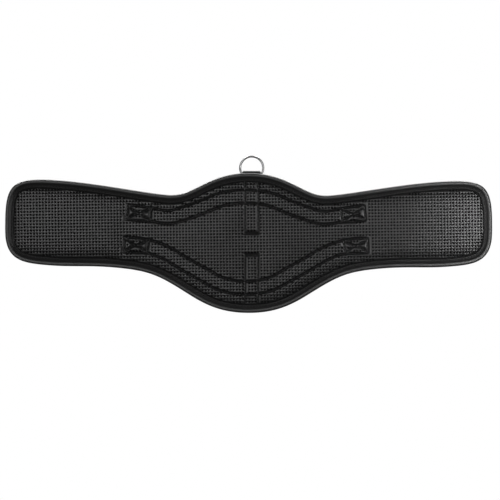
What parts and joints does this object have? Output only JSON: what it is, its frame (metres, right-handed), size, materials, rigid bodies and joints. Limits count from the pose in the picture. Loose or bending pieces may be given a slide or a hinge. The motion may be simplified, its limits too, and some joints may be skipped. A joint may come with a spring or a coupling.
{
  "type": "saddle girth",
  "caption": "Padded dressage girth with a shaped body, perforated lining, sewn webbing straps, elastic ends with roller buckles and a dee ring.",
  "frame": {"origin": "the middle of the horse-side face: half way along the girth, half way up the body, on the lining's face", "axes": "+X along the girth, +Z towards the dee ring edge (the front edge on the horse), -Y out of the horse-side face"},
  "size_m": [0.6824, 0.0188, 0.221],
  "materials": {
    "liner_neoprene": "perforated neoprene with a soft satin skin, black",
    "core_foam": "closed-cell foam, dark grey",
    "shell_cloth": "heavy ballistic-weave nylon, black",
    "binding_tape": "folded edge tape with a fine rib and a sewn seam, black",
    "webbing": "flat nylon webbing, herringbone weave, black",
    "elastic_web": "heavy covered elastic with cross ribs, black",
    "ring_steel": "plated round steel wire",
    "buckle_steel": "satin stainless steel",
    "roller_steel": "turned stainless steel"
  },
  "bodies": {
    "girth": {"liner_panel": "liner_neoprene", "foam_core": "core_foam", "outer_shell": "shell_cloth", "edge_binding": "binding_tape", "front_strap": "webbing", "rear_strap": "webbing", "centre_strap": "webbing", "left_front_elastic": "elastic_web", "right_front_elastic": "elastic_web", "left_rear_elastic": "elastic_web", "right_rear_elastic": "elastic_web"},
    "dee_ring": {"dee_ring": "ring_steel"},
    "left_front_strap_end": {"left_front_chape": "webbing"},
    "left_front_buckle": {"left_front_buckle_frame": "buckle_steel"},
    "left_front_tongue": {"left_front_buckle_tongue": "buckle_steel"},
    "left_front_roller": {"left_front_roller": "roller_steel"},
    "right_front_strap_end": {"right_front_chape": "webbing"},
    "right_front_buckle": {"right_front_buckle_frame": "buckle_steel"},
    "right_front_tongue": {"right_front_buckle_tongue": "buckle_steel"},
    "right_front_roller": {"right_front_roller": "roller_steel"},
    "left_rear_strap_end": {"left_rear_chape": "webbing"},
    "left_rear_buckle": {"left_rear_buckle_frame": "buckle_steel"},
    "left_rear_tongue": {"left_rear_buckle_tongue": "buckle_steel"},
    "left_rear_roller": {"left_rear_roller": "roller_steel"},
    "right_rear_strap_end": {"right_rear_chape": "webbing"},
    "right_rear_buckle": {"right_rear_buckle_frame": "buckle_steel"},
    "right_rear_tongue": {"right_rear_buckle_tongue": "buckle_steel"},
    "right_rear_roller": {"right_rear_roller": "roller_steel"}
  },
  "joints": [
    {"name": "dee_ring_swing", "type": "hinge", "parent": "girth", "child": "dee_ring", "pos_m": [0.004, 0.01485, 0.0984], "axis": [1, 0, 0], "range_deg": [-165, 45]},
    {"name": "left_front_stretch", "type": "slide", "parent": "girth", "child": "left_front_strap_end", "axis": [-0.9945, 0, 0.1045], "range_m": [0, 0.03], "stiffness_N_per_m": 3000, "deforming": ["left_front_elastic"]},
    {"name": "left_front_buckle_hinge", "type": "hinge", "parent": "left_front_strap_end", "child": "left_front_buckle", "pos_m": [-0.25892, 0.01295, 0.05208], "axis": [-0.1045, 0, -0.9945], "range_deg": [0, 80]},
    {"name": "left_front_tongue_hinge", "type": "hinge", "parent": "left_front_buckle", "child": "left_front_tongue", "pos_m": [-0.25892, 0.01295, 0.05208], "axis": [-0.1045, 0, -0.9945], "range_deg": [0, 65]},
    {"name": "left_front_roller_spin", "type": "hinge", "parent": "left_front_buckle", "child": "left_front_roller", "pos_m": [-0.28279, 0.01295, 0.05459], "axis": [-0.1045, 0, -0.9945], "continuous": true},
    {"name": "right_front_stretch", "type": "slide", "parent": "girth", "child": "right_front_strap_end", "axis": [0.9945, 0, 0.1045], "range_m": [0, 0.03], "stiffness_N_per_m": 3000, "deforming": ["right_front_elastic"]},
    {"name": "right_front_buckle_hinge", "type": "hinge", "parent": "right_front_strap_end", "child": "right_front_buckle", "pos_m": [0.25192, 0.01295, 0.05208], "axis": [-0.1045, 0, 0.9945], "range_deg": [0, 80]},
    {"name": "right_front_tongue_hinge", "type": "hinge", "parent": "right_front_buckle", "child": "right_front_tongue", "pos_m": [0.25192, 0.01295, 0.05208], "axis": [-0.1045, 0, 0.9945], "range_deg": [0, 65]},
    {"name": "right_front_roller_spin", "type": "hinge", "parent": "right_front_buckle", "child": "right_front_roller", "pos_m": [0.27579, 0.01295, 0.05459], "axis": [-0.1045, 0, 0.9945], "continuous": true},
    {"name": "left_rear_stretch", "type": "slide", "parent": "girth", "child": "left_rear_strap_end", "axis": [-0.9976, 0, 0.0698], "range_m": [0, 0.03], "stiffness_N_per_m": 3000, "deforming": ["left_rear_elastic"]},
    {"name": "left_rear_buckle_hinge", "type": "hinge", "parent": "left_rear_strap_end", "child": "left_rear_buckle", "pos_m": [-0.26324, 0.01295, 0.00319], "axis": [-0.0698, 0, -0.9976], "range_deg": [0, 80]},
    {"name": "left_rear_tongue_hinge", "type": "hinge", "parent": "left_rear_buckle", "child": "left_rear_tongue", "pos_m": [-0.26324, 0.01295, 0.00319], "axis": [-0.0698, 0, -0.9976], "range_deg": [0, 65]},
    {"name": "left_rear_roller_spin", "type": "hinge", "parent": "left_rear_buckle", "child": "left_rear_roller", "pos_m": [-0.28718, 0.01295, 0.00487], "axis": [-0.0698, 0, -0.9976], "continuous": true},
    {"name": "right_rear_stretch", "type": "slide", "parent": "girth", "child": "right_rear_strap_end", "axis": [0.9976, 0, 0.0698], "range_m": [0, 0.03], "stiffness_N_per_m": 3000, "deforming": ["right_rear_elastic"]},
    {"name": "right_rear_buckle_hinge", "type": "hinge", "parent": "right_rear_strap_end", "child": "right_rear_buckle", "pos_m": [0.25624, 0.01295, 0.00319], "axis": [-0.0698, 0, 0.9976], "range_deg": [0, 80]},
    {"name": "right_rear_tongue_hinge", "type": "hinge", "parent": "right_rear_buckle", "child": "right_rear_tongue", "pos_m": [0.25624, 0.01295, 0.00319], "axis": [-0.0698, 0, 0.9976], "range_deg": [0, 65]},
    {"name": "right_rear_roller_spin", "type": "hinge", "parent": "right_rear_buckle", "child": "right_rear_roller", "pos_m": [0.28018, 0.01295, 0.00487], "axis": [-0.0698, 0, 0.9976], "continuous": true}
  ]
}
